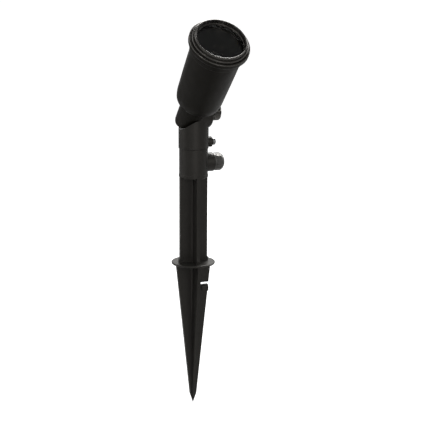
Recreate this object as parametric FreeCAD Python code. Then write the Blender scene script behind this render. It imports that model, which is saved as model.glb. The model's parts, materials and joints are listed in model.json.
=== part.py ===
# Garden spike spotlight: a tilting lamp head on a swivel, a terminal collar
# with a cable gland, and a one-piece cruciform post, flange and ground spike.
# Millimetres. Origin: centre of the flange's underside, where it rests on the
# ground. +Z up. +X: the pivot axis, the cable gland and the notched fin.
# The lamp head leans towards -Y.

import FreeCAD, Part
import math
import os

os.makedirs("parts", exist_ok=True)

Vec = FreeCAD.Vector
ORIGIN = Vec(0, 0, 0)
X_AXIS = Vec(1, 0, 0)
Y_AXIS = Vec(0, 1, 0)
Z_AXIS = Vec(0, 0, 1)

# ---------------------------------------------------------------- clearances
running = 0.08          # turning fits, per side
slip = 0.15             # pieces that only drop into place, per side
seal_gap = 0.05         # a seal in its groove, per side
face_gap = 0.3          # between the faces of pieces that turn on each other

# ------------------------------------------------- ground spike and its post
flange_radius = 21.7
flange_thickness = 2.0
post_radius = 14.25     # from the axis to a fin's outer edge
fin_thickness = 3.4
root_fillet = 2.0
foot_reach = 1.05       # each fin is wider by this at the flange
foot_height = 5.0
spike_length = 148.0
spike_top_radius = 18.1
spike_shoulder = 0.9    # the fins narrow by this over the first stretch
spike_shoulder_depth = 8.0
spike_end_radius = 3.2
point_length = 10.4
spigot_height = 6.6

# cable notch in the fin on the +X side, below the flange
notch_depth = 20.6
notch_height = 2.6
notch_inner = 8.2       # from the axis to the notch's round end
hook_thickness = 6.0
hook_height = 5.2
hook_drop = 1.4
hook_reach = 1.15       # beyond the post's radius

# ------------------------------------------------------------ terminal collar
collar_bottom = 88.1
collar_height = 27.9
collar_radius = 14.1
collar_wall = 2.0
bead_height = 2.2
bead_rise = 0.35
chamber_roof = 2.5
neck_wall = 2.6
seat_radius = 9.3       # round seat for the cable gland
seat_reach = 5.4        # beyond the collar's wall
gland_rise = 13.4       # the gland's axis above the collar's foot
gland_bore_radius = 6.1
retaining_screw_rise = 3.5
retaining_screw_radius = 1.2
retaining_head_radius = 2.8
retaining_screw_bite = 6.0
head_sink = 1.0         # a screw head's recess in the collar's wall
seal_section = 1.8      # swivel seal, along the axis
seal_groove_depth = 1.5
seal_land = 2.2         # from the groove to the neck's top
lock_groove_depth = 0.6

# ------------------------------------------------------------- terminal block
block_width = 9.4       # along X
block_height = 13.0
block_centre_x = -2.6
block_corner_gap = 3.6  # from the chamber's wall to the block's end, at each end
pole_radius = 2.3
pole_rise = 5.5
pole_inset = 0.1
clamp_bore = 1.35
terminal_pitch = 4.8    # between the two screws of one pole
terminal_screw_radius = 1.0
block_screw_radius = 1.05
block_screw_bite = 4.5
block_screw_seat = 9.5

# ---------------------------------------------------------------- cable gland
gland_flange_radius = 8.7
gland_flange_thickness = 2.1
gland_ring_thickness = 0.5
gland_ring_inset = 0.6
gland_stub_radius = 6.6
gland_stub_wall = 1.3
gland_stub_length = 6.2
cable_radius = 3.5
nut_across_corners = 8.9
nut_wall = 1.2
nut_slack = 1.0         # from the stub's end to the nut's end wall
nut_mouth_radius = 4.4
nut_facets = 12

# --------------------------------------------------------------- swivel base
swivel_radius = 14.7
swivel_height = 34.9    # from its underside to the pivot
swivel_wall = 3.2
swivel_roof = 4.0       # under the lamp head's knuckle
lock_boss_radius = 5.2
lock_boss_margin = 0.2
lock_boss_reach = 3.6
lock_screw_radius = 2.0
lock_insert_radius = 3.1
lock_head_radius = 3.5
lock_head_height = 3.0
lock_head_gap = 1.3

# -------------------------------------------------------------------- pivot
rest_tilt = 42.7        # lean of the lamp head from upright, in degrees
knuckle_radius = 15.0
knuckle_clearance = 1.3
ear_reach = 0.8         # beyond the swivel's side
ear_rise = 0.2          # beyond the knuckle's radius
bolt_radius = 2.5
washer_radius = 7.5
washer_thickness = 1.4
knob_radius = 8.8
knob_length = 8.9
knob_neck = 1.6
knob_flutes = 8
flute_radius = 2.1
hub_radius = 5.6
wireway_width = 3.0     # round the hub, for the wires
wireway_depth = 9.0
wire_hole_radius = 2.8
friction_land = 1.0     # from the wireway to the friction ring
friction_width = 3.4
friction_thickness = 1.5
nut_flats = 8.0
nut_thickness = 4.0
nut_recess = 1.2        # from the joint's face to the nut
bolt_tail = 2.0         # of the bolt beyond the nut
bolt_head_height = 3.5
bolt_head_sink = 0.9

# ------------------------- lamp head, measured along its barrel from the pivot
knuckle_roof = 0.8
barrel_length = 74.4
barrel_floor = 2.9
barrel_wall = 1.6
barrel_low_radius = 22.8
barrel_low_rise = 12.9
barrel_mid_rise = 40.9
barrel_flare_mid = 1.0
barrel_flare_top = 1.7
foot_rounding = 3.2
foot_rounding_height = 6.6
floor_taper = 4.0
floor_taper_height = 6.0
thread_wall = 2.5
thread_length = 7.5
stub_radius = 7.5
stub_length = 11.0
stub_bore = 4.2
stub_floor = 1.4        # left between the stub's bore and the joint's face
neck_nut_radius = 11.0
neck_nut_thickness = 4.5
neck_seal_radius = 11.6
neck_seal_width = 1.8
neck_seal_depth = 1.2
bezel_seal_section = 1.4
bezel_seal_depth = 1.1
bezel_seal_land = 1.0

# ---------------------------------------------------------------- light engine
disc_rise = 32.9        # from the barrel's foot to its bosses
disc_thickness = 3.5
disc_head_radius = 2.4
disc_head_height = 1.8
disc_screw_radius = 1.2
disc_screw_bite = 8.0
disc_rim = 0.5          # from a screw head to the barrel's wall
disc_post_radius = 3.0
board_inset = 3.1
board_thickness = 1.6
board_screw_inset = 3.1
board_screw_radius = 0.95
board_head_radius = 1.8
board_screw_bite = 3.0
lead_inset = 3.5
lead_radius = 1.0
lead_length = 11.4
chip_border = 1.2       # the chip's ring round its bright face
chip_clearance = 1.4    # from that ring to the board's screw heads
chip_thickness = 1.2
optic_height = 12.0
optic_gap = 0.2
holder_wall = 1.6
holder_lip = 1.0
driver_length = 20.0
driver_lug = 6.6        # from the case's side to the lug's screw
driver_height = 17.0
driver_lug_thickness = 2.2
driver_lug_inset = 3.6
driver_screw_radius = 1.0
driver_screw_bite = 3.2

# ------------------------------------------------------------- glass and bezel
lens_play = 0.05        # on each face of the glass and its gasket
gasket_thickness = 1.15
gasket_width = 1.2
lens_thickness = 2.9
lens_inset = 0.3
ledge_thickness = 2.0
ledge_inset = 1.5
mouth_inset = 0.6
mouth_depth = 4.15      # from the ledge to the hood's edge
skirt_wall = 1.82
rim_reach = 3.2
rim_width = 4.8
rim_step = 2.3          # from the rim's front to the inner step
hood_step = 3.1         # from the inner step to the hood's edge
inner_step_inset = 2.8
groove_depth = 1.0

# --------------------------------------------------------------- shared values
far = 400.0
foot_radius = post_radius + foot_reach
hook_radius = post_radius + hook_reach
notch_top = -notch_depth
hook_top = notch_top - notch_height
chamber_radius = collar_radius - collar_wall
spigot_radius = chamber_radius - 0.1
collar_top = collar_bottom + collar_height
gland_height = collar_bottom + gland_rise
retaining_screw_height = collar_bottom + retaining_screw_rise
seat_end = collar_radius + seat_reach
swivel_bottom = collar_top + face_gap
pivot_height = swivel_bottom + swivel_height
lock_height = swivel_bottom + lock_boss_radius + lock_boss_margin
lock_boss_end = swivel_radius + lock_boss_reach
cut_radius = knuckle_radius + knuckle_clearance
neck_radius = swivel_radius - swivel_wall
neck_top = pivot_height - cut_radius - swivel_roof - face_gap
block_base = collar_bottom + spigot_height
block_length = 2 * (chamber_radius - block_corner_gap)
pole_spacing = block_length / 2 + pole_inset
ear_end = swivel_radius + ear_reach
ear_radius = knuckle_radius + ear_rise
wireway_radius = hub_radius + wireway_width
friction_inner = wireway_radius + friction_land
friction_outer = friction_inner + friction_width
knob_start = ear_end + washer_thickness + 0.1
knob_end = knob_start + knob_length
nut_start = -face_gap - nut_recess - nut_thickness
bolt_head_seat = knob_end - bolt_head_sink - bolt_head_height
flange_start = seat_end + gland_ring_thickness
flange_end = flange_start + gland_flange_thickness
gland_stub_end = flange_end + gland_stub_length
nut_end = gland_stub_end + nut_slack + nut_wall
barrel_foot = cut_radius + knuckle_roof
barrel_end = barrel_foot + barrel_length
skirt_start = barrel_end - thread_length
bore_radius = barrel_low_radius - barrel_wall
thread_radius = bore_radius + thread_wall
barrel_foot_radius = barrel_low_radius - foot_rounding
barrel_mid_radius = barrel_low_radius + barrel_flare_mid
barrel_top_radius = barrel_low_radius + barrel_flare_top
disc_seat = barrel_foot + disc_rise
disc_screw_circle = bore_radius - disc_rim - disc_head_radius
holder_radius = disc_screw_circle - disc_head_radius - face_gap
optic_radius = holder_radius - holder_wall
board_radius = holder_radius - board_inset
board_seat = disc_seat + disc_thickness
board_face = board_seat + board_thickness
optic_top = board_face + chip_thickness + optic_height
driver_screw_offset = bore_radius - driver_lug_inset
board_screw_offset = board_radius - board_screw_inset
lead_offset = board_radius - lead_inset
driver_width = 2 * (driver_screw_offset - driver_lug)
chip_radius = board_screw_offset - board_head_radius - chip_border - chip_clearance
gasket_start = barrel_end + lens_play
lens_back = gasket_start + gasket_thickness
lens_front = lens_back + lens_thickness
lens_radius = thread_radius - lens_inset
ledge_start = lens_front + lens_play
ledge_end = ledge_start + ledge_thickness
ledge_radius = thread_radius - ledge_inset
mouth_radius = thread_radius - mouth_inset
mouth_end = ledge_end + mouth_depth
inner_step_height = mouth_end - hood_step
rim_front = inner_step_height - rim_step
rim_back = rim_front - rim_width
skirt_radius = thread_radius + running + skirt_wall
rim_radius = skirt_radius + rim_reach
inner_step_radius = rim_radius - inner_step_inset
pivot = Vec(0, 0, pivot_height)
gland_centre = Vec(0, 0, gland_height)


def cylinder(radius, start, end, centre=ORIGIN, axis=Z_AXIS):
    """Solid cylinder between two distances along an axis through centre."""
    return Part.makeCylinder(radius, end - start, centre + axis * start, axis)


def tube(outer, inner, start, end, centre=ORIGIN, axis=Z_AXIS):
    """Cylinder with a hole through it."""
    hole = cylinder(inner, start - 1, end + 1, centre, axis)
    return cylinder(outer, start, end, centre, axis).cut(hole)


def block(x0, x1, y0, y1, z0, z1):
    """Box between two corners."""
    return Part.makeBox(x1 - x0, y1 - y0, z1 - z0, Vec(x0, y0, z0))


def turned(points):
    """Solid turned round Z from a closed outline of (radius, height) points."""
    corners = [Vec(r, 0, z) for r, z in points]
    face = Part.Face(Part.makePolygon(corners + corners[:1]))
    return face.revolve(ORIGIN, Z_AXIS, 360)


def prism(points, across, axis):
    """Outline of (side, height) points, extruded evenly to both sides of Z."""
    if axis == "y":
        corners = [Vec(a, -across / 2, z) for a, z in points]
        way = Vec(0, across, 0)
    else:
        corners = [Vec(-across / 2, a, z) for a, z in points]
        way = Vec(across, 0, 0)
    face = Part.Face(Part.makePolygon(corners + corners[:1]))
    return face.extrude(way)


def hexagon(flats, start, end, centre=ORIGIN, axis=Z_AXIS):
    """Hexagonal bar along X or Z."""
    corner = flats / math.sqrt(3)
    ring = []
    for step in range(7):
        angle = math.radians(60 * step)
        side = corner * math.cos(angle)
        rise = corner * math.sin(angle)
        offset = Vec(0, side, rise) if axis == X_AXIS else Vec(side, rise, 0)
        ring.append(centre + axis * start + offset)
    return Part.Face(Part.makePolygon(ring)).extrude(axis * (end - start))


def fuse(first, *others):
    """Several solids joined into one."""
    joined = first
    for other in others:
        joined = joined.fuse(other)
    return joined.removeSplitter()


def tilted(shape):
    """Move a shape from the lamp head's own axes to its place on the pivot."""
    placed = shape.copy()
    placed.rotate(ORIGIN, X_AXIS, rest_tilt)
    placed.translate(Vec(0, 0, pivot_height))
    return placed


def pan_screw(radius, head_radius, head_height, seat, tip, centre, axis, across):
    """Pan-head screw with a cross recess. Seat and tip lie along the axis."""
    shank = cylinder(radius, tip, seat, centre, axis)
    head = cylinder(head_radius, seat, seat + head_height, centre, axis)
    rim = [e for e in head.Edges
           if abs((e.CenterOfMass - centre).dot(axis) - seat - head_height) < 1e-6]
    head = head.makeFillet(head_height * 0.45, rim)
    screw = shank.fuse(head)
    other = axis.cross(across)
    long_side = head_radius * 1.1
    short_side = head_radius * 0.26
    depth = head_height * 0.5
    top = centre + axis * (seat + head_height - depth)
    for along, wide in ((across, other), (other, across)):
        corner = top - along * (long_side / 2) - wide * (short_side / 2)
        ring = [corner,
                corner + along * long_side,
                corner + along * long_side + wide * short_side,
                corner + wide * short_side,
                corner]
        screw = screw.cut(Part.Face(Part.makePolygon(ring)).extrude(axis * (depth + 1)))
    return screw


# ============================================================== ground spike
def fin_outline():
    """Right-hand edge of one fin, from the point up to the collar."""
    end = -spike_length
    right = [(spike_end_radius, end + point_length),
             (spike_top_radius - spike_shoulder, -spike_shoulder_depth),
             (spike_top_radius, 0),
             (foot_radius, 0),
             (foot_radius, flange_thickness + foot_height - 2),
             (post_radius, flange_thickness + foot_height),
             (post_radius, collar_bottom - slip)]
    left = [(-r, z) for r, z in reversed(right)]
    return [(0, end)] + right + left


def fin_section():
    """Thickness of one fin, drawn in to the point."""
    half = fin_thickness / 2
    end = -spike_length
    return [(-0.25, end), (0.25, end), (half, end + point_length),
            (half, collar_bottom), (-half, collar_bottom), (-half, end + point_length)]


def make_ground_spike():
    side_fins = prism(fin_outline(), fin_thickness, "y")
    side_fins = side_fins.common(prism(fin_section(), far, "x"))
    front_fins = prism(fin_outline(), fin_thickness, "x")
    front_fins = front_fins.common(prism(fin_section(), far, "y"))
    flange = cylinder(flange_radius, 0, flange_thickness)
    flange = flange.makeFillet(0.6, [e for e in flange.Edges if e.Curve.TypeId == "Part::GeomCircle"])
    spigot = cylinder(spigot_radius, collar_bottom - 1.5, collar_bottom + spigot_height)
    core_top = fin_thickness / 2 + root_fillet
    upper_core = cylinder(core_top, 0, collar_bottom - 1)
    lower_core = Part.makeCone(1.2, core_top, spike_length - point_length - 2,
                               Vec(0, 0, point_length + 2 - spike_length))
    spike = fuse(side_fins, front_fins, flange, spigot, upper_core, lower_core)
    # cable notch, open at the fin's edge, with a thick rounded hook under it
    spike = spike.cut(block(notch_inner, far, -far, far, hook_top, notch_top))
    inner_end = cylinder(notch_height / 2, -far, far,
                         Vec(notch_inner, 0, (notch_top + hook_top) / 2), Y_AXIS)
    spike = spike.cut(inner_end)
    hook = prism([(notch_inner, hook_top),
                  (hook_radius, hook_top),
                  (hook_radius, hook_top - hook_height - hook_drop),
                  (notch_inner, hook_top - hook_height)], hook_thickness, "y")
    upper = [e for e in hook.Edges
             if abs(e.BoundBox.ZMin - hook_top) < 1e-6 and abs(e.BoundBox.ZMax - hook_top) < 1e-6
             and e.BoundBox.XLength > 1]
    hook = hook.makeFillet(hook_thickness * 0.42, upper)
    spike = fuse(spike, hook)
    # blind hole for the retaining screw, and one on top for the terminal block
    pilot = cylinder(retaining_screw_radius + seal_gap, spigot_radius - retaining_screw_bite - 1, far,
                     Vec(0, 0, retaining_screw_height), Y_AXIS)
    spike = spike.cut(pilot)
    block_pilot = cylinder(block_screw_radius + seal_gap, block_base - block_screw_bite - 0.5, far,
                           Vec(block_centre_x, 0, 0))
    return spike.cut(block_pilot)


# =========================================================== terminal collar
def make_terminal_collar():
    body = cylinder(collar_radius, collar_bottom, collar_top)
    bead = cylinder(collar_radius + bead_rise, collar_bottom, collar_bottom + bead_height)
    neck = cylinder(neck_radius - running, collar_top - 1, neck_top)
    seat = cylinder(seat_radius, 4, seat_end, gland_centre, X_AXIS)
    collar = fuse(body, bead, neck, seat)
    chamber = cylinder(chamber_radius, collar_bottom - 1, collar_top - chamber_roof)
    wireway = cylinder(neck_radius - neck_wall, collar_bottom, neck_top + 1)
    entry = cylinder(gland_bore_radius, 6, seat_end + 1, gland_centre, X_AXIS)
    screw_hole = cylinder(retaining_screw_radius + 0.5, 0, far, Vec(0, 0, retaining_screw_height), Y_AXIS)
    sink = cylinder(retaining_head_radius + 0.5, collar_radius - head_sink, far,
                    Vec(0, 0, retaining_screw_height), Y_AXIS)
    for hollow in (chamber, wireway, entry, screw_hole, sink):
        collar = collar.cut(hollow)
    # groove for the swivel seal, and one for the tip of the lock screw
    seal_top = neck_top - seal_land
    seal_groove = tube(neck_radius + 1, neck_radius - seal_groove_depth, seal_top - seal_section, seal_top)
    half_groove = lock_screw_radius + 0.4
    lock_groove = tube(neck_radius + 1, neck_radius - lock_groove_depth,
                       lock_height - half_groove, lock_height + half_groove)
    return collar.cut(seal_groove).cut(lock_groove)


def make_swivel_seal():
    top = neck_top - seal_land
    return tube(neck_radius - 0.03, neck_radius - seal_groove_depth + seal_gap,
                top - seal_section + seal_gap, top - seal_gap)


def make_retaining_screw():
    centre = Vec(0, 0, retaining_screw_height)
    return pan_screw(retaining_screw_radius, retaining_head_radius, 1.8, collar_radius - head_sink,
                     spigot_radius - retaining_screw_bite, centre, Y_AXIS, X_AXIS)


def pole_places():
    """Centre lines of the two poles of the terminal block."""
    return [-pole_spacing / 2, pole_spacing / 2]


def make_terminal_block():
    base = block_base
    x0 = block_centre_x - block_width / 2
    body = block(x0, x0 + block_width, -block_length / 2, block_length / 2,
                 base, base + block_height)
    body = body.makeFillet(0.6, [e for e in body.Edges if e.BoundBox.ZLength > 1])
    for y in pole_places():
        tunnel = cylinder(pole_radius, -far / 2, far / 2, Vec(0, y, base + pole_rise), X_AXIS)
        body = body.cut(tunnel)
        for x in terminal_screw_places():
            well = cylinder(terminal_screw_radius + 0.8, base + pole_rise, far, Vec(x, y, 0))
            body = body.cut(well)
    middle = Vec(block_centre_x, 0, 0)
    body = body.cut(cylinder(block_screw_radius + 0.3, base - 1, far, middle))
    return body.cut(cylinder(block_screw_radius + 1.45, base + block_screw_seat, far, middle))


def terminal_screw_places():
    """The two screws of each pole, along X."""
    return [block_centre_x - terminal_pitch / 2, block_centre_x + terminal_pitch / 2]


def make_terminal_clamps():
    middle_height = block_base + pole_rise
    x0 = block_centre_x - block_width / 2 + 0.5
    clamps = []
    for y in pole_places():
        centre = Vec(0, y, middle_height)
        clamp = tube(pole_radius - seal_gap, clamp_bore, x0, x0 + block_width - 1.0, centre, X_AXIS)
        for x in terminal_screw_places():
            hole = cylinder(terminal_screw_radius + seal_gap, middle_height,
                            middle_height + pole_radius + 1, Vec(x, y, 0))
            clamp = clamp.cut(hole)
        clamps.append(clamp)
    return Part.makeCompound(clamps)


def make_terminal_screws():
    middle_height = block_base + pole_rise
    seat = middle_height + pole_radius + 0.4
    screws = []
    for y in pole_places():
        for x in terminal_screw_places():
            screws.append(pan_screw(terminal_screw_radius, terminal_screw_radius + 0.6, 1.6, seat,
                                    middle_height + 0.4, Vec(x, y, 0), Z_AXIS, X_AXIS))
    return Part.makeCompound(screws)


def make_block_screw():
    return pan_screw(block_screw_radius, block_screw_radius + 1.15, 1.6, block_base + block_screw_seat,
                     block_base - block_screw_bite, Vec(block_centre_x, 0, 0), Z_AXIS, X_AXIS)


# =============================================================== cable gland
def make_gland_body():
    inner_end = chamber_radius - 0.6
    thread = cylinder(gland_bore_radius - 0.1, inner_end, flange_start, gland_centre, X_AXIS)
    flange = cylinder(gland_flange_radius, flange_start, flange_end, gland_centre, X_AXIS)
    stub = cylinder(gland_stub_radius, flange_end, gland_stub_end, gland_centre, X_AXIS)
    body = fuse(thread, flange, stub)
    bore = cylinder(cable_radius + 0.5, 0, far, gland_centre, X_AXIS)
    seal_seat = cylinder(gland_stub_radius - gland_stub_wall, flange_end + 0.4, far, gland_centre, X_AXIS)
    return body.cut(bore).cut(seal_seat)


def make_gland_ring():
    return tube(gland_flange_radius - gland_ring_inset, gland_bore_radius + 0.1, seat_end, flange_start,
                gland_centre, X_AXIS)


def make_gland_seal():
    outer = gland_stub_radius - gland_stub_wall - seal_gap
    return tube(outer, cable_radius, flange_end + 0.4 + seal_gap, nut_end - nut_wall - face_gap,
                gland_centre, X_AXIS)


def make_gland_nut():
    start = flange_end + face_gap
    corners = []
    for step in range(nut_facets):
        angle = 2 * math.pi * (step + 0.5) / nut_facets
        corners.append(Vec(start, nut_across_corners * math.cos(angle),
                           gland_height + nut_across_corners * math.sin(angle)))
    face = Part.Face(Part.makePolygon(corners + corners[:1]))
    outside = face.extrude(Vec(nut_end - start, 0, 0))
    # domed front: the facets run out into a turned cap
    dome = turned([(0, start - 1), (nut_across_corners + 0.2, start - 1),
                   (nut_across_corners + 0.2, nut_end - 4.2),
                   (nut_across_corners - 0.5, nut_end - 2.6),
                   (nut_across_corners - 1.7, nut_end - 1.0),
                   (nut_across_corners - 3.2, nut_end), (0, nut_end)])
    dome.rotate(ORIGIN, Y_AXIS, 90)
    dome.translate(gland_centre)
    nut = outside.common(dome)
    hollow = cylinder(gland_stub_radius + running, 0, nut_end - nut_wall, gland_centre, X_AXIS)
    mouth = cylinder(nut_mouth_radius, 0, far, gland_centre, X_AXIS)
    return nut.cut(hollow).cut(mouth)


# =============================================================== swivel base
def make_swivel_base():
    post = cylinder(swivel_radius, swivel_bottom, pivot_height)
    post = post.cut(cylinder(cut_radius, -far, face_gap, pivot, X_AXIS))
    ear = cylinder(ear_radius, face_gap, ear_end, pivot, X_AXIS)
    ear = ear.makeChamfer(0.7, [e for e in ear.Edges
                                if abs(e.CenterOfMass.x - ear_end) < 1e-6])
    boss = cylinder(lock_boss_radius, 5, lock_boss_end, Vec(0, 0, lock_height), X_AXIS)
    base = fuse(post, ear, boss)
    # socket for the collar's neck, then the way up for the wires
    socket = cylinder(neck_radius, 0, neck_top + face_gap)
    wire_hole = cylinder(wire_hole_radius, neck_top - 1, pivot_height - hub_radius - 0.5,
                         Vec(wireway_depth / 2 + 0.6, 0, 0))
    wireway = tube(wireway_radius, hub_radius, 0, wireway_depth, pivot, X_AXIS)
    bolt_hole = cylinder(bolt_radius + running, 0, far, pivot, X_AXIS)
    ring_seat = tube(friction_outer + slip, friction_inner - slip, 0,
                     friction_thickness - face_gap + seal_gap, pivot, X_AXIS)
    lock_hole = cylinder(lock_insert_radius, neck_radius + 0.2, far,
                         Vec(0, 0, lock_height), X_AXIS)
    lock_way = cylinder(lock_screw_radius + 0.3, 5, far, Vec(0, 0, lock_height), X_AXIS)
    for hollow in (socket, wire_hole, wireway, bolt_hole, ring_seat, lock_hole, lock_way):
        base = base.cut(hollow)
    return base


def make_friction_ring():
    return tube(friction_outer, friction_inner, -face_gap + seal_gap,
                friction_thickness - face_gap, pivot, X_AXIS)


def make_lock_insert():
    return tube(lock_insert_radius, lock_screw_radius + running, neck_radius + 0.3,
                lock_boss_end - 0.3, Vec(0, 0, lock_height), X_AXIS)


def make_lock_screw():
    return pan_screw(lock_screw_radius, lock_head_radius, lock_head_height,
                     lock_boss_end + lock_head_gap, neck_radius - 0.5,
                     Vec(0, 0, lock_height), X_AXIS, Y_AXIS)


def make_pivot_washer():
    return tube(washer_radius, bolt_radius + running, ear_end, ear_end + washer_thickness,
                pivot, X_AXIS)


def make_pivot_knob():
    collar = cylinder(knob_radius * 0.72, knob_start, knob_end - 1, pivot, X_AXIS)
    grip = cylinder(knob_radius, knob_start + knob_neck, knob_end, pivot, X_AXIS)
    grip = grip.makeFillet(0.9, [e for e in grip.Edges
                                 if e.Curve.TypeId == "Part::GeomCircle"])
    knob = fuse(collar, grip)
    for step in range(knob_flutes):
        angle = 2 * math.pi * (step + 0.5) / knob_flutes
        reach = knob_radius + flute_radius - 1.0
        centre = pivot + Vec(0, reach * math.cos(angle), reach * math.sin(angle))
        knob = knob.cut(cylinder(flute_radius, knob_start, far, centre, X_AXIS))
    bolt_seat = cylinder(bolt_radius, 0, bolt_head_seat, pivot, X_AXIS)
    head_seat = hexagon(nut_flats, bolt_head_seat, knob_end + 1, pivot, X_AXIS)
    return knob.cut(bolt_seat).cut(head_seat)


def make_pivot_bolt():
    shank = cylinder(bolt_radius, nut_start - bolt_tail, bolt_head_seat, pivot, X_AXIS)
    head = hexagon(nut_flats, bolt_head_seat, bolt_head_seat + bolt_head_height, pivot, X_AXIS)
    return fuse(shank, head)


# ================================================= lamp head, in its own axes
def make_head_knuckle():
    neck = cylinder(knuckle_radius, -far / 4, barrel_foot)
    rounded = fuse(cylinder(knuckle_radius, -far / 4, far / 4, ORIGIN, X_AXIS),
                   block(-far / 4, far / 4, -knuckle_radius, knuckle_radius, 0, barrel_foot))
    knuckle = neck.common(rounded)
    # one half makes room for the swivel base's ear
    knuckle = knuckle.cut(cylinder(cut_radius, -face_gap, far, ORIGIN, X_AXIS))
    knuckle = fuse(knuckle, cylinder(stub_radius, barrel_foot - 1, barrel_foot + stub_length))
    wireway = tube(wireway_radius, hub_radius, -wireway_depth, 0, ORIGIN, X_AXIS)
    wire_hole = cylinder(wire_hole_radius, hub_radius + 0.5, barrel_foot - 4,
                         Vec(-wireway_depth / 2 - 0.6, 0, 0))
    stub_hole = cylinder(stub_bore, cut_radius - 4, far)
    stub_hole = stub_hole.cut(block(-0.8, far, -far, far, 0, cut_radius - stub_floor))
    bolt_hole = cylinder(bolt_radius + running, nut_start - bolt_tail - 1.0, 0, ORIGIN, X_AXIS)
    nut_seat = hexagon(nut_flats, nut_start, 1, ORIGIN, X_AXIS)
    seal_seat = tube(neck_seal_radius, neck_seal_radius - neck_seal_width,
                     barrel_foot - neck_seal_depth, barrel_foot + 1)
    for hollow in (wireway, wire_hole, stub_hole, bolt_hole, nut_seat, seal_seat):
        knuckle = knuckle.cut(hollow)
    return tilted(knuckle)


def make_pivot_nut():
    nut = hexagon(nut_flats, nut_start, nut_start + nut_thickness, ORIGIN, X_AXIS)
    return tilted(nut.cut(cylinder(bolt_radius + running, -far, far, ORIGIN, X_AXIS)))


def make_neck_seal():
    return tilted(tube(neck_seal_radius - seal_gap * 2, neck_seal_radius - neck_seal_width + seal_gap * 2,
                       barrel_foot - neck_seal_depth, barrel_foot))


def make_neck_nut():
    seat = barrel_foot + barrel_floor
    nut = hexagon(neck_nut_radius * 2 * math.cos(math.pi / 6), seat, seat + neck_nut_thickness)
    trim = turned([(0, seat), (neck_nut_radius - 0.8, seat), (neck_nut_radius, seat + 0.6),
                   (neck_nut_radius, seat + neck_nut_thickness - 0.6),
                   (neck_nut_radius - 0.8, seat + neck_nut_thickness),
                   (0, seat + neck_nut_thickness)])
    return tilted(nut.common(trim).cut(cylinder(stub_radius + running, 0, far)))


def disc_post_places():
    """Centres of the three bosses that carry the heat disc."""
    places = []
    for step in range(3):
        angle = math.radians(90 + 120 * step)
        places.append(Vec(disc_screw_circle * math.cos(angle),
                          disc_screw_circle * math.sin(angle), 0))
    return places


def make_head_barrel():
    # outside: flat foot, rounded shoulder, slight flare up to the bezel
    foot = barrel_foot
    shoulder = Part.BSplineCurve()
    shoulder.interpolate([Vec(barrel_foot_radius, 0, foot),
                          Vec(barrel_foot_radius + 1.5, 0, foot + 0.9),
                          Vec(barrel_low_radius - 1.0, 0, foot + 3.2),
                          Vec(barrel_low_radius - 0.4, 0, foot + foot_rounding_height),
                          Vec(barrel_low_radius, 0, foot + barrel_low_rise),
                          Vec(barrel_mid_radius, 0, foot + barrel_mid_rise),
                          Vec(barrel_top_radius, 0, skirt_start)])
    corners = [Vec(barrel_top_radius, 0, skirt_start), Vec(thread_radius, 0, skirt_start),
               Vec(thread_radius, 0, barrel_end), Vec(0, 0, barrel_end), Vec(0, 0, foot),
               Vec(barrel_foot_radius, 0, foot)]
    sides = [Part.makeLine(a, b) for a, b in zip(corners[:-1], corners[1:])]
    outline = Part.Wire([shoulder.toShape()] + sides)
    barrel = Part.Face(outline).revolve(ORIGIN, Z_AXIS, 360)
    taper_end = foot + barrel_floor + floor_taper_height
    inside = cylinder(bore_radius, taper_end - 0.01, far)
    lower = Part.makeCone(bore_radius - floor_taper, bore_radius, floor_taper_height,
                          Vec(0, 0, foot + barrel_floor))
    barrel = barrel.cut(inside).cut(lower)
    for place in disc_post_places():
        post = cylinder(disc_post_radius, foot + 1, disc_seat, place)
        web = cylinder(disc_post_radius, foot + 1, disc_seat, place * 1.1)
        web = web.common(cylinder(bore_radius + 0.5, 0, far))
        barrel = fuse(barrel, post, web)
        pilot = cylinder(disc_screw_radius + seal_gap, disc_seat - disc_screw_bite - 2, disc_seat + 1, place)
        barrel = barrel.cut(pilot)
    barrel = barrel.cut(cylinder(stub_radius + slip, 0, foot + barrel_floor + 1))
    groove_start = skirt_start + bezel_seal_land
    seal_groove = tube(thread_radius + 1, thread_radius - bezel_seal_depth,
                       groove_start, groove_start + bezel_seal_section)
    return tilted(barrel.cut(seal_groove))


def make_bezel_seal():
    start = skirt_start + bezel_seal_land
    return tilted(tube(thread_radius + running - 0.03, thread_radius - bezel_seal_depth + seal_gap,
                       start + seal_gap, start + bezel_seal_section - seal_gap))


def make_heat_disc():
    disc = cylinder(bore_radius - slip, disc_seat, disc_seat + disc_thickness)
    for place in disc_post_places():
        disc = disc.cut(cylinder(disc_screw_radius + 0.4, 0, far, place))
    for side in (-1, 1):
        driver_hole = cylinder(driver_screw_radius + seal_gap, 0, far, Vec(side * driver_screw_offset, 0, 0))
        lead_hole = cylinder(lead_radius + face_gap, 0, far, Vec(0, side * lead_offset, 0))
        board_hole = cylinder(board_screw_radius + seal_gap, 0, far, Vec(side * board_screw_offset, 0, 0))
        for hole in (driver_hole, lead_hole, board_hole):
            disc = disc.cut(hole)
    return tilted(disc)


def make_disc_screws():
    screws = []
    for place in disc_post_places():
        screws.append(pan_screw(disc_screw_radius, disc_head_radius, disc_head_height, board_seat,
                                disc_seat - disc_screw_bite, place, Z_AXIS, X_AXIS))
    return tilted(Part.makeCompound(screws))


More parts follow.
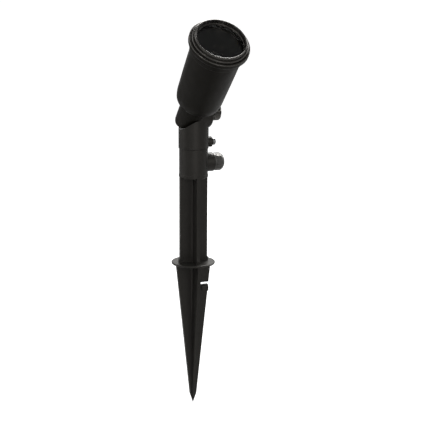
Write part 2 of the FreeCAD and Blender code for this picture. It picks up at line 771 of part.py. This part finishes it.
def make_driver_module():
    top = disc_seat
    half = driver_width / 2
    case = block(-half, half, -driver_length / 2, driver_length / 2, top - driver_height, top)
    case = case.makeFillet(1.2, [e for e in case.Edges if e.BoundBox.ZLength > 1])
    lug_end = driver_screw_offset + 2.4
    lugs = block(-lug_end, lug_end, -2.6, 2.6, top - driver_lug_thickness, top)
    case = fuse(case, lugs)
    for side in (-1, 1):
        hole = cylinder(driver_screw_radius + 0.35, 0, far, Vec(side * driver_screw_offset, 0, 0))
        lead_way = cylinder(lead_radius + face_gap, board_face + 0.3 - lead_length, far,
                            Vec(0, side * lead_offset, 0))
        case = case.cut(hole).cut(lead_way)
    return tilted(case)


def make_driver_screws():
    screws = []
    for side in (-1, 1):
        place = Vec(side * driver_screw_offset, 0, 0)
        screw = pan_screw(driver_screw_radius, driver_screw_radius + 1.1, 1.5, driver_lug_thickness,
                          -driver_screw_bite, ORIGIN, Z_AXIS, X_AXIS)
        screw.rotate(ORIGIN, X_AXIS, 180)
        screw.translate(place + Vec(0, 0, disc_seat))
        screws.append(screw)
    return tilted(Part.makeCompound(screws))


def make_led_board():
    board = cylinder(board_radius, board_seat, board_face)
    for side in (-1, 1):
        screw_hole = cylinder(board_screw_radius + 0.25, 0, far, Vec(side * board_screw_offset, 0, 0))
        lead_hole = cylinder(lead_radius + face_gap, 0, far, Vec(0, side * lead_offset, 0))
        board = board.cut(screw_hole).cut(lead_hole)
    return tilted(board)


def make_led_chip():
    base = cylinder(chip_radius + chip_border, board_face, board_face + chip_thickness * 0.5)
    dome = cylinder(chip_radius, board_face, board_face + chip_thickness)
    return tilted(fuse(base, dome))


def make_board_screws():
    screws = []
    for side in (-1, 1):
        place = Vec(side * board_screw_offset, 0, 0)
        screws.append(pan_screw(board_screw_radius, board_head_radius, 1.2, board_face,
                                board_seat - board_screw_bite, place, Z_AXIS, X_AXIS))
    return tilted(Part.makeCompound(screws))


def make_led_leads():
    leads = []
    for side in (-1, 1):
        place = Vec(0, side * lead_offset, 0)
        end = board_face + 0.4
        leads.append(cylinder(lead_radius, end - lead_length, end, place))
    return tilted(Part.makeCompound(leads))


def make_optic_holder():
    top = optic_top
    holder = tube(holder_radius, board_radius + slip, board_seat, board_face)
    wall = tube(holder_radius, optic_radius + slip, board_face, top)
    lip = tube(holder_radius, optic_radius - 0.8, top, top + holder_lip)
    return tilted(fuse(holder, wall, lip))


def make_led_optic():
    base = board_face + chip_thickness + optic_gap
    top = optic_top
    optic = turned([(0, base + 1.2), (chip_radius - 0.6, base), (chip_radius + 1.0, base),
                    (optic_radius - 2.2, base + optic_height * 0.6),
                    (optic_radius, top - 1.6), (optic_radius, top), (0, top)])
    return tilted(optic)


def make_lens_gasket():
    return tilted(tube(lens_radius, lens_radius - gasket_width, gasket_start, lens_back))


def make_glass_lens():
    lens = cylinder(lens_radius, lens_back, lens_front)
    lens = lens.makeFillet(0.5, [e for e in lens.Edges if e.Curve.TypeId == "Part::GeomCircle"])
    return tilted(lens)


def make_front_bezel():
    inner = thread_radius + running
    outline = [(inner, skirt_start + face_gap),
               (skirt_radius - 0.5, skirt_start + face_gap),
               (skirt_radius, skirt_start + face_gap + 0.6),
               (skirt_radius, rim_back - 1.0),
               (rim_radius - 1.0, rim_back),
               (rim_radius, rim_back + 1.2),
               (rim_radius, rim_front - 1.0),
               (rim_radius - 0.7, rim_front),
               (rim_radius - 1.8, rim_front + 0.35),
               (rim_radius - 2.2, rim_front - groove_depth),
               (inner_step_radius + 0.6, rim_front - groove_depth),
               (inner_step_radius + 0.3, inner_step_height - 0.6),
               (inner_step_radius - 0.2, inner_step_height),
               (inner_step_radius - 0.9, inner_step_height + 0.1),
               (mouth_radius + 1.5, mouth_end - 0.6),
               (mouth_radius + 0.9, mouth_end),
               (mouth_radius + 0.2, mouth_end),
               (mouth_radius - 0.1, mouth_end - 0.5),
               (mouth_radius - 0.1, ledge_end),
               (ledge_radius, ledge_end),
               (ledge_radius, ledge_start),
               (inner, ledge_start)]
    return tilted(turned(outline))


PIECES = {
    "ground_spike": make_ground_spike,
    "terminal_collar": make_terminal_collar,
    "retaining_screw": make_retaining_screw,
    "terminal_block": make_terminal_block,
    "terminal_clamps": make_terminal_clamps,
    "terminal_screws": make_terminal_screws,
    "block_screw": make_block_screw,
    "swivel_seal": make_swivel_seal,
    "gland_body": make_gland_body,
    "gland_ring": make_gland_ring,
    "gland_seal": make_gland_seal,
    "gland_nut": make_gland_nut,
    "swivel_base": make_swivel_base,
    "friction_ring": make_friction_ring,
    "lock_insert": make_lock_insert,
    "lock_screw": make_lock_screw,
    "pivot_washer": make_pivot_washer,
    "pivot_knob": make_pivot_knob,
    "pivot_bolt": make_pivot_bolt,
    "pivot_nut": make_pivot_nut,
    "head_knuckle": make_head_knuckle,
    "neck_seal": make_neck_seal,
    "neck_nut": make_neck_nut,
    "head_barrel": make_head_barrel,
    "bezel_seal": make_bezel_seal,
    "heat_disc": make_heat_disc,
    "disc_screws": make_disc_screws,
    "driver_module": make_driver_module,
    "driver_screws": make_driver_screws,
    "led_board": make_led_board,
    "led_chip": make_led_chip,
    "board_screws": make_board_screws,
    "led_leads": make_led_leads,
    "optic_holder": make_optic_holder,
    "led_optic": make_led_optic,
    "lens_gasket": make_lens_gasket,
    "glass_lens": make_glass_lens,
    "front_bezel": make_front_bezel,
}

for name, make in PIECES.items():
    shape = make()
    print(name, "solids", len(shape.Solids), "volume", round(shape.Volume, 1),
          "valid", shape.isValid())
    shape.exportStep("parts/" + name + ".step")
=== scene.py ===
import bpy
import bmesh
import json
import math
from mathutils import Matrix, Vector


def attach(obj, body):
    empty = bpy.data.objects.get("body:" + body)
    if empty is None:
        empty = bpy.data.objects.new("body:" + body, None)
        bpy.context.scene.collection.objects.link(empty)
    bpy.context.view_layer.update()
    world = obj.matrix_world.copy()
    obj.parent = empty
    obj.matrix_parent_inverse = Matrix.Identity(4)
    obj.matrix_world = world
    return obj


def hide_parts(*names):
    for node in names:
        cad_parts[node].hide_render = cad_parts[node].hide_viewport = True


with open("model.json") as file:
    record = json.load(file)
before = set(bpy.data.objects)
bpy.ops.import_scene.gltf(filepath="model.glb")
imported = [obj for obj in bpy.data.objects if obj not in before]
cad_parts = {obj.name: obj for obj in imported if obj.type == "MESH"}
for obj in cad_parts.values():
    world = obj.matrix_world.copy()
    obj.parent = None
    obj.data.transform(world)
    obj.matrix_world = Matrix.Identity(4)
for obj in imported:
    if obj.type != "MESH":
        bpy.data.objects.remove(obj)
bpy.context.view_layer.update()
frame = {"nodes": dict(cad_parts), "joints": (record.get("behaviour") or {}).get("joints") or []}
nodes = frame["nodes"]
joints = {joint["name"]: joint for joint in frame["joints"]}
MM = 0.001

# ------------------------------------------------------------------ camera
AZIMUTH = math.radians(-22.0)
PITCH = math.radians(12.4)
ROLL = math.radians(0.35)
DISTANCE = 1.100
ASIDE = 0.0173            # the picture's centre, beside and above the frame's origin
ABOVE = 0.0523
SENSOR_WIDTH = 36
FOCAL_PIXELS = 1100
PHOTO_PIXELS = 421
NEAREST = 0.05
FARTHEST = 200

right = Vector((math.cos(AZIMUTH), math.sin(AZIMUTH), 0))
back = Vector((math.sin(AZIMUTH) * math.cos(PITCH), -math.cos(AZIMUTH) * math.cos(PITCH), math.sin(PITCH)))


def make_camera():
    """Camera at the photo's viewing angle."""
    up = back.cross(right)
    turned_right = right * math.cos(ROLL) + up * math.sin(ROLL)
    turned_up = up * math.cos(ROLL) - right * math.sin(ROLL)
    place = turned_right * ASIDE + turned_up * ABOVE + back * DISTANCE
    camera_data = bpy.data.cameras.new("camera")
    camera_data.sensor_width = SENSOR_WIDTH
    camera_data.lens = SENSOR_WIDTH * FOCAL_PIXELS / PHOTO_PIXELS
    camera_data.clip_start = NEAREST
    camera_data.clip_end = FARTHEST
    camera = bpy.data.objects.new("camera", camera_data)
    bpy.context.collection.objects.link(camera)
    camera.matrix_world = Matrix((
        (turned_right.x, turned_up.x, back.x, place.x),
        (turned_right.y, turned_up.y, back.y, place.y),
        (turned_right.z, turned_up.z, back.z, place.z),
        (0, 0, 0, 1)))
    bpy.context.scene.camera = camera


make_camera()

# --------------------------------------------------------------- materials
COLOUR_A = 6              # sockets of a Mix node that is set to colours
COLOUR_B = 7
COLOUR_RESULT = 2
NOISE_LOW = 0.3           # most of a noise texture's values lie between these two
NOISE_HIGH = 0.7
NOISE_ROUGHNESS = 0.55
EVEN = (1, 1, 1)
DRAWN = (0.15, 1, 1)      # stretches that draw noise out into streaks
ROLLED = (0.2, 1, 1)
TURNED = (1, 1, 0.2)
RUNNING = (1, 1, 0.12)
CLOUD_SCALE = 45          # scales are in features per metre
FLOW_SCALE = 130
MARK_SCALE = 900
STAIN_SCALE = 220
FILM_SCALE = 60
CLOUD_DEPTH = 0.08 * MM
FILM_DEPTH = 0.004 * MM
SMALL_EDGE = 0.2 * MM
BEVEL_SAMPLES = 6
WARM = (1, 0.95, 0.88, 1)
WHITE_LIGHT = (1, 1, 1, 1)


def grey(tone):
    return (tone, tone, tone)


def new_material(name):
    material = bpy.data.materials.new(name)
    material.use_nodes = True
    tree = material.node_tree
    tree.nodes.clear()
    output = tree.nodes.new("ShaderNodeOutputMaterial")
    shader = tree.nodes.new("ShaderNodeBsdfPrincipled")
    tree.links.new(shader.outputs["BSDF"], output.inputs["Surface"])
    return material, tree, shader


def noise(tree, scale, detail, stretch=EVEN):
    """Noise in the piece's own coordinates."""
    coords = tree.nodes.new("ShaderNodeTexCoord")
    mapping = tree.nodes.new("ShaderNodeMapping")
    mapping.inputs["Scale"].default_value = stretch
    tree.links.new(coords.outputs["Object"], mapping.inputs["Vector"])
    texture = tree.nodes.new("ShaderNodeTexNoise")
    texture.inputs["Scale"].default_value = scale
    texture.inputs["Detail"].default_value = detail
    texture.inputs["Roughness"].default_value = NOISE_ROUGHNESS
    tree.links.new(mapping.outputs["Vector"], texture.inputs["Vector"])
    return texture.outputs["Fac"]


def between(tree, value, low, high, start=NOISE_LOW, end=NOISE_HIGH):
    """Map a value that runs from start to end onto low to high."""
    ranged = tree.nodes.new("ShaderNodeMapRange")
    ranged.inputs["From Min"].default_value = start
    ranged.inputs["From Max"].default_value = end
    ranged.inputs["To Min"].default_value = low
    ranged.inputs["To Max"].default_value = high
    tree.links.new(value, ranged.inputs["Value"])
    return ranged.outputs["Result"]


def tones(tree, value, first, second):
    """Blend of two colours."""
    mix = tree.nodes.new("ShaderNodeMix")
    mix.data_type = "RGBA"
    mix.inputs[COLOUR_A].default_value = (*first, 1)
    mix.inputs[COLOUR_B].default_value = (*second, 1)
    tree.links.new(value, mix.inputs["Factor"])
    return mix.outputs[COLOUR_RESULT]


def relief(tree, shader, heights, depths, edge=0.0):
    """Bumps from one or more heights over softly rounded edges."""
    normal = None
    if edge:
        rounding = tree.nodes.new("ShaderNodeBevel")
        rounding.samples = BEVEL_SAMPLES
        rounding.inputs["Radius"].default_value = edge
        normal = rounding.outputs["Normal"]
    for height, depth in zip(heights, depths):
        bump = tree.nodes.new("ShaderNodeBump")
        bump.inputs["Distance"].default_value = depth
        bump.inputs["Strength"].default_value = 1.0
        tree.links.new(height, bump.inputs["Height"])
        if normal:
            tree.links.new(normal, bump.inputs["Normal"])
        normal = bump.outputs["Normal"]
    tree.links.new(normal, shader.inputs["Normal"])


def moulding(name, dark, light, rough, grain=1400, grain_depth=0.04 * MM, specular=0.5, edge=0.4 * MM):
    """Moulded plastic with an eroded surface texture and faint cloudy patches."""
    material, tree, shader = new_material(name)
    spread = 0.07
    fine = noise(tree, grain, 3)
    cloud = noise(tree, CLOUD_SCALE, 5)
    flow = noise(tree, FLOW_SCALE, 4, RUNNING)
    tree.links.new(tones(tree, between(tree, cloud, 0, 1), dark, light), shader.inputs["Base Color"])
    tree.links.new(between(tree, flow, rough - spread, rough + spread), shader.inputs["Roughness"])
    shader.inputs["Specular IOR Level"].default_value = specular
    shader.inputs["Specular Tint"].default_value = WARM
    relief(tree, shader, [fine, cloud], [grain_depth, CLOUD_DEPTH], edge)
    return material


def metal(name, dark, light, rough, stretch, depth=0.01 * MM):
    """Drawn or turned metal: fine marks one way and soft stains."""
    material, tree, shader = new_material(name)
    smoother = 0.08
    rougher = 0.14
    marks = noise(tree, MARK_SCALE, 3, stretch)
    stain = noise(tree, STAIN_SCALE, 5)
    shader.inputs["Metallic"].default_value = 1
    tree.links.new(tones(tree, between(tree, stain, 0, 1), dark, light), shader.inputs["Base Color"])
    tree.links.new(between(tree, marks, rough - smoother, rough + rougher), shader.inputs["Roughness"])
    relief(tree, shader, [marks], [depth], SMALL_EDGE)
    return material


def clear(name, tint, rough, ior):
    """Clear glass or acrylic with a faint film of dust."""
    material, tree, shader = new_material(name)
    rougher = 0.03
    shader.inputs["Base Color"].default_value = (*tint, 1)
    shader.inputs["Transmission Weight"].default_value = 1
    shader.inputs["IOR"].default_value = ior
    film = noise(tree, FILM_SCALE, 6)
    tree.links.new(between(tree, film, rough, rough + rougher), shader.inputs["Roughness"])
    relief(tree, shader, [film], [FILM_DEPTH])
    return material


def painted(name, dark, light, rough, scale, stretch=EVEN):
    """Any other opaque finish: two tones over a small relief."""
    material, tree, shader = new_material(name)
    finer = 9
    smoother = 0.05
    rougher = 0.08
    tone = noise(tree, scale, 5, stretch)
    fine = noise(tree, scale * finer, 3, stretch)
    tree.links.new(tones(tree, between(tree, tone, 0, 1), dark, light), shader.inputs["Base Color"])
    tree.links.new(between(tree, fine, rough - smoother, rough + rougher), shader.inputs["Roughness"])
    relief(tree, shader, [tone, fine], [0.02 * MM, 0.01 * MM], SMALL_EDGE)
    return material


BLACK = moulding("black moulding", (0.0085, 0.0076, 0.006), (0.0125, 0.0112, 0.0088),
                 rough=0.44, specular=0.13)
STEM = moulding("black stem moulding", (0.0145, 0.0138, 0.0125), (0.02, 0.019, 0.0172),
                rough=0.43, grain=1100, specular=0.38)
GLOSS = moulding("black smooth moulding", (0.035, 0.035, 0.033), (0.05, 0.05, 0.047),
                 rough=0.34, grain=2400, grain_depth=0.01 * MM, specular=0.6)
TRIM = moulding("black trim", (0.01, 0.0092, 0.008), (0.015, 0.0138, 0.012),
                rough=0.26, grain=900, grain_depth=0.004 * MM, specular=0.9, edge=0.0)
SMOOTH = moulding("black gland moulding", (0.085, 0.085, 0.082), (0.11, 0.11, 0.106),
                  rough=0.36, grain=2000, grain_depth=0.01 * MM, specular=0.6)
POLISHED = moulding("polished black", grey(0.02), (0.03, 0.03, 0.029),
                    rough=0.16, grain=900, grain_depth=0.004 * MM, specular=0.9)
RUBBER = moulding("black rubber", grey(0.012), grey(0.02),
                  rough=0.72, grain=2600, grain_depth=0.02 * MM, specular=0.3)
GREY = moulding("grey moulding", grey(0.16), grey(0.22), rough=0.55)
WHITE = moulding("white moulding", (0.68, 0.68, 0.64), (0.78, 0.78, 0.75), rough=0.5)
STEEL = metal("zinc plated steel", (0.42, 0.43, 0.44), (0.62, 0.62, 0.63), rough=0.32, stretch=DRAWN)
DARK_STEEL = metal("blackened steel", grey(0.05), grey(0.12), rough=0.34, stretch=DRAWN)
MILLED = metal("bright milled steel", grey(0.2), grey(0.34), rough=0.2, stretch=DRAWN)
BRASS = metal("brass", (0.62, 0.44, 0.16), (0.8, 0.6, 0.27), rough=0.3, stretch=ROLLED)
ALUMINIUM = metal("turned aluminium", (0.62, 0.63, 0.64), (0.78, 0.78, 0.79),
                  rough=0.34, stretch=TURNED, depth=0.03 * MM)
GLASS = clear("lens glass", (0.9, 0.92, 0.91), rough=0.0, ior=1.45)
ACRYLIC = clear("clear acrylic", (0.96, 0.97, 0.98), rough=0.02, ior=1.49)
BOARD = painted("white solder mask", (0.72, 0.73, 0.7), (0.84, 0.84, 0.82), rough=0.35, scale=300)
PHOSPHOR = painted("yellow phosphor", (0.75, 0.5, 0.06), (0.9, 0.66, 0.14), rough=0.45, scale=900)
WIRE = painted("red wire sleeve", (0.4, 0.02, 0.015), (0.55, 0.04, 0.03),
               rough=0.4, scale=500, stretch=TURNED)

FINISH = {
    "ground_spike": STEM, "terminal_collar": STEM, "swivel_base": STEM,
    "head_knuckle": BLACK, "head_barrel": BLACK, "front_bezel": BLACK,
    "optic_holder": BLACK, "driver_module": GLOSS, "pivot_knob": POLISHED,
    "gland_nut": SMOOTH, "gland_body": SMOOTH,
    "swivel_seal": RUBBER, "gland_ring": RUBBER, "gland_seal": RUBBER,
    "neck_seal": RUBBER, "bezel_seal": RUBBER, "lens_gasket": RUBBER,
    "friction_ring": GREY, "neck_nut": GREY, "terminal_block": WHITE,
    "lock_screw": MILLED, "retaining_screw": STEEL, "block_screw": STEEL,
    "disc_screws": STEEL, "driver_screws": STEEL, "board_screws": STEEL,
    "terminal_screws": STEEL, "pivot_washer": DARK_STEEL,
    "pivot_bolt": STEEL, "pivot_nut": STEEL,
    "terminal_clamps": BRASS, "lock_insert": BRASS,
    "heat_disc": ALUMINIUM, "led_board": BOARD, "led_chip": PHOSPHOR,
    "led_leads": WIRE, "led_optic": ACRYLIC, "glass_lens": GLASS,
}
for name, node in nodes.items():
    node.data.materials.clear()
    node.data.materials.append(FINISH[name])
    for polygon in node.data.polygons:
        polygon.material_index = 0

# ------------------------------------------------------------ finer pieces
PIVOT = Vector(joints["tilt"]["pos_m"])
LEAN = Vector(joints["bezel_travel"]["axis"]).normalized()
GLAND = Vector(joints["gland_nut_turn"]["pos_m"])
GLAND_AXIS = Vector((1, 0, 0))
STEM_AXIS = Vector((0, 0, 1))
ORIGIN = Vector((0, 0, 0))
LATHE_STEPS = 144
SEAL_STEPS = 20
EASE_STEPS = 4
EASE_SHARE = 0.45         # the most of a side that the curve at one corner takes


def reach_of(node, origin, way):
    """Least and greatest radius and height of a CAD node about an axis."""
    radii = []
    heights = []
    for vertex in nodes[node].data.vertices:
        offset = nodes[node].matrix_world @ vertex.co - origin
        height = offset.dot(way)
        heights.append(height)
        radii.append((offset - way * height).length)
    return min(radii), max(radii), min(heights), max(heights)


def eased(corners, ease):
    """Closed outline with every corner rounded by a curve that starts up to ease before it."""
    points = []
    count = len(corners)
    for index, (radius, height) in enumerate(corners):
        here = Vector((radius, height))
        before = Vector(corners[index - 1]) - here
        after = Vector(corners[(index + 1) % count]) - here
        cut = min(ease, before.length * EASE_SHARE, after.length * EASE_SHARE)
        start = here + before.normalized() * cut
        end = here + after.normalized() * cut
        for step in range(EASE_STEPS + 1):
            share = step / EASE_STEPS
            points.append(start * (1 - share) ** 2 + here * 2 * share * (1 - share) + end * share ** 2)
    return points


def lathe(name, outline, origin, way, material):
    """Closed outline of (radius, height) points turned about an axis."""
    side = way.orthogonal().normalized()
    other = way.cross(side)
    count = len(outline)
    verts = []
    faces = []
    for step in range(LATHE_STEPS):
        angle = 2 * math.pi * step / LATHE_STEPS
        out = side * math.cos(angle) + other * math.sin(angle)
        near = step * count
        far = (step + 1) % LATHE_STEPS * count
        for index, (radius, height) in enumerate(outline):
            following = (index + 1) % count
            verts.append(origin + out * radius + way * height)
            faces.append((near + index, far + index, far + following, near + following))
    mesh = bpy.data.meshes.new(name)
    mesh.from_pydata([tuple(vert) for vert in verts], [], faces)
    solid = bmesh.new()
    solid.from_mesh(mesh)
    bmesh.ops.recalc_face_normals(solid, faces=solid.faces)
    solid.to_mesh(mesh)
    solid.free()
    mesh.shade_smooth()
    mesh.materials.append(material)
    piece = bpy.data.objects.new(name, mesh)
    bpy.context.collection.objects.link(piece)
    return piece


def bezel_outline(bore, rim, foot, end):
    """Half section of the bezel, from the skirt's foot round the rim to the lens ledge."""
    thread = bore + 1.58 * MM
    skirt = rim - 3.2 * MM
    rim_back = end - 10.2 * MM
    rim_front = end - 5.4 * MM
    shoulder = 1.0 * MM
    rim_part = [(thread, foot), (skirt, foot), (skirt, rim_back - shoulder),
                (rim - shoulder, rim_back - 0.2 * MM), (rim, rim_back + shoulder),
                (rim, rim_front + 0.3 * MM)]
    lip = rim - 1.9 * MM
    band = rim - 2.8 * MM
    groove = rim_front - 0.9 * MM
    groove_part = [(lip, rim_front + 0.6 * MM), (lip, groove), (band + 0.6 * MM, groove)]
    step = end - 3.1 * MM
    hood = bore + 0.9 * MM
    hood_part = [(band + 0.5 * MM, step + 0.2 * MM), (band - 1.2 * MM, step + 0.5 * MM),
                 (band - 1.3 * MM, step - 0.2 * MM), (hood + 1.6 * MM, end - 1.6 * MM),
                 (hood + 1.4 * MM, end), (hood, end)]
    ledge_top = end - 4.15 * MM
    ledge = end - 6.15 * MM
    ledge_part = [(hood, ledge_top), (bore + 0.5 * MM, ledge_top + 0.3 * MM),
                  (bore, ledge_top - 0.4 * MM), (bore, ledge), (thread, ledge)]
    return rim_part + groove_part + hood_part + ledge_part, rim_front


def make_bezel():
    """Screw-on bezel with a shinier finish on the faces in front of the rim's side."""
    ease = 0.7 * MM
    side_edge = 1.2 * MM
    outline, rim_front = bezel_outline(*reach_of("front_bezel", PIVOT, LEAN))
    bezel = lathe("bezel_turned", eased(outline, ease), PIVOT, LEAN, BLACK)
    bezel.data.materials.append(TRIM)
    for face in bezel.data.polygons:
        face.material_index = int((face.center - PIVOT).dot(LEAN) > rim_front - side_edge)
    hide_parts("front_bezel")
    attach(bezel, "bezel")


def make_seal(node, body, origin, way):
    """Round-section rubber ring in place of a square one."""
    inner, outer, low, high = reach_of(node, origin, way)
    centre = Vector(((inner + outer) / 2, (low + high) / 2))
    outline = []
    for step in range(SEAL_STEPS):
        angle = 2 * math.pi * step / SEAL_STEPS
        half = Vector((math.cos(angle) * (outer - inner) / 2, math.sin(angle) * (high - low) / 2))
        outline.append(centre + half)
    ring = lathe(node + "_round", outline, origin, way, RUBBER)
    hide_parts(node)
    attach(ring, body)


make_bezel()
make_seal("bezel_seal", "head", PIVOT, LEAN)
make_seal("neck_seal", "head", PIVOT, LEAN)
make_seal("swivel_seal", "spike", ORIGIN, STEM_AXIS)
make_seal("gland_ring", "spike", GLAND, GLAND_AXIS)

# ------------------------------------------------------- floor and lighting
POST = (0, 0, 0.08)       # points that the lamps face
COLLAR = (0, 0, 0.1)
SWIVEL = (0, 0, 0.12)
KNUCKLE = (0, 0, 0.14)
HEAD = (0, 0, 0.16)


def softbox(name, place, aim, wide, high, power):
    lamp = bpy.data.lights.new(name, "AREA")
    lamp.shape = "RECTANGLE"
    lamp.size = wide
    lamp.size_y = high
    lamp.energy = power
    holder = bpy.data.objects.new(name, lamp)
    bpy.context.collection.objects.link(holder)
    holder.location = place
    holder.rotation_euler = (Vector(aim) - Vector(place)).to_track_quat("-Z", "Y").to_euler()


def around(side, height, away):
    """A place given from the camera: to its right, up, and towards it."""
    level_back = Vector((back.x, back.y, 0)).normalized()
    return right * side + Vector((0, 0, height)) + level_back * away


softbox("high back softbox", (0.43, 0.65, 1.14), SWIVEL, wide=0.6, high=0.6, power=20)
softbox("high left softbox", (-0.75, 0.7, 0.9), SWIVEL, wide=0.5, high=0.5, power=3)
softbox("high right softbox", (1.15, 0.35, 0.75), KNUCKLE, wide=0.6, high=0.6, power=6)
softbox("left strip", around(-1.2, 0.45, 0.2), COLLAR, wide=0.3, high=1.0, power=1.5)
softbox("front fill", around(0.5, 0.4, 1.6), POST, wide=0.8, high=0.8, power=4.5)
softbox("high front left", (-0.6, -0.75, 0.95), HEAD, wide=0.3, high=0.3, power=2.0)


def combined(tree, operation, first, second):
    """Result of a Math node on two values."""
    node = tree.nodes.new("ShaderNodeMath")
    node.operation = operation
    tree.links.new(first, node.inputs[0])
    tree.links.new(second, node.inputs[1])
    return node.outputs["Value"]


def seen_rays(tree):
    """1 for the rays that see the white studio: camera, glossy and transmission rays."""
    rays = tree.nodes.new("ShaderNodeLightPath").outputs
    value = rays["Is Camera Ray"]
    for kind in ("Is Glossy Ray", "Is Transmission Ray"):
        value = combined(tree, "MAXIMUM", value, rays[kind])
    return value


def make_floor():
    """Pale floor whose glow grows away from the object, so that its shadow stays."""
    reach = 60.0
    ground = -0.1481          # just under the spike's point
    pale = 0.5
    dark = 0.12
    near_glow = 0.82
    far_glow = 0.98
    glow_start = 0.3
    glow_end = 1.6
    corners = [(-reach, -reach, ground), (reach, -reach, ground),
               (reach, reach, ground), (-reach, reach, ground)]
    mesh = bpy.data.meshes.new("floor")
    mesh.from_pydata(corners, [], [(0, 1, 2, 3)])
    floor = bpy.data.objects.new("floor", mesh)
    bpy.context.collection.objects.link(floor)
    material, tree, shader = new_material("pale floor")
    shader.inputs["Base Color"].default_value = (*grey(pale), 1)
    shader.inputs["Roughness"].default_value = 0.9
    shader.inputs["Specular IOR Level"].default_value = 0.1
    coords = tree.nodes.new("ShaderNodeTexCoord")
    length = tree.nodes.new("ShaderNodeVectorMath")
    length.operation = "LENGTH"
    tree.links.new(coords.outputs["Object"], length.inputs[0])
    camera_ray = tree.nodes.new("ShaderNodeLightPath").outputs["Is Camera Ray"]
    growing = between(tree, length.outputs["Value"], near_glow, far_glow, glow_start, glow_end)
    glow = tree.nodes.new("ShaderNodeEmission")
    glow.inputs["Color"].default_value = WHITE_LIGHT
    tree.links.new(combined(tree, "MULTIPLY", growing, camera_ray), glow.inputs["Strength"])
    dim = tree.nodes.new("ShaderNodeBsdfDiffuse")
    dim.inputs["Color"].default_value = (*grey(dark), 1)
    mixed = tree.nodes.new("ShaderNodeMixShader")
    added = tree.nodes.new("ShaderNodeAddShader")
    output = next(node for node in tree.nodes if node.type == "OUTPUT_MATERIAL")
    tree.links.new(seen_rays(tree), mixed.inputs["Fac"])
    tree.links.new(dim.outputs["BSDF"], mixed.inputs[1])
    tree.links.new(shader.outputs["BSDF"], mixed.inputs[2])
    tree.links.new(mixed.outputs["Shader"], added.inputs[0])
    tree.links.new(glow.outputs["Emission"], added.inputs[1])
    tree.links.new(added.outputs["Shader"], output.inputs["Surface"])
    mesh.materials.append(material)


def background(tree):
    """White background node of strength 1."""
    node = tree.nodes.new("ShaderNodeBackground")
    node.inputs["Color"].default_value = WHITE_LIGHT
    return node


def make_world():
    """White backdrop for the rays that see it, dim light for the rest.

    The white ends overhead, where reflections see the dark of the room.
    """
    dim = 0.1
    overhead_tone = 0.12
    fade_start = 0.3
    fade_end = 0.75
    world = bpy.data.worlds.new("studio")
    bpy.context.scene.world = world
    world.use_nodes = True
    tree = world.node_tree
    tree.nodes.clear()
    output = tree.nodes.new("ShaderNodeOutputWorld")
    soft = background(tree)
    soft.inputs["Strength"].default_value = dim
    seen = background(tree)
    coords = tree.nodes.new("ShaderNodeTexCoord")
    split = tree.nodes.new("ShaderNodeSeparateXYZ")
    tree.links.new(coords.outputs["Generated"], split.inputs["Vector"])
    overhead = between(tree, split.outputs["Z"], 1.0, overhead_tone, fade_start, fade_end)
    camera_ray = tree.nodes.new("ShaderNodeLightPath").outputs["Is Camera Ray"]
    tree.links.new(combined(tree, "MAXIMUM", camera_ray, overhead), seen.inputs["Strength"])
    mix = tree.nodes.new("ShaderNodeMixShader")
    tree.links.new(seen_rays(tree), mix.inputs["Fac"])
    tree.links.new(soft.outputs["Background"], mix.inputs[1])
    tree.links.new(seen.outputs["Background"], mix.inputs[2])
    tree.links.new(mix.outputs["Shader"], output.inputs["Surface"])


make_floor()
make_world()
bpy.context.scene.view_settings.view_transform = "Standard"
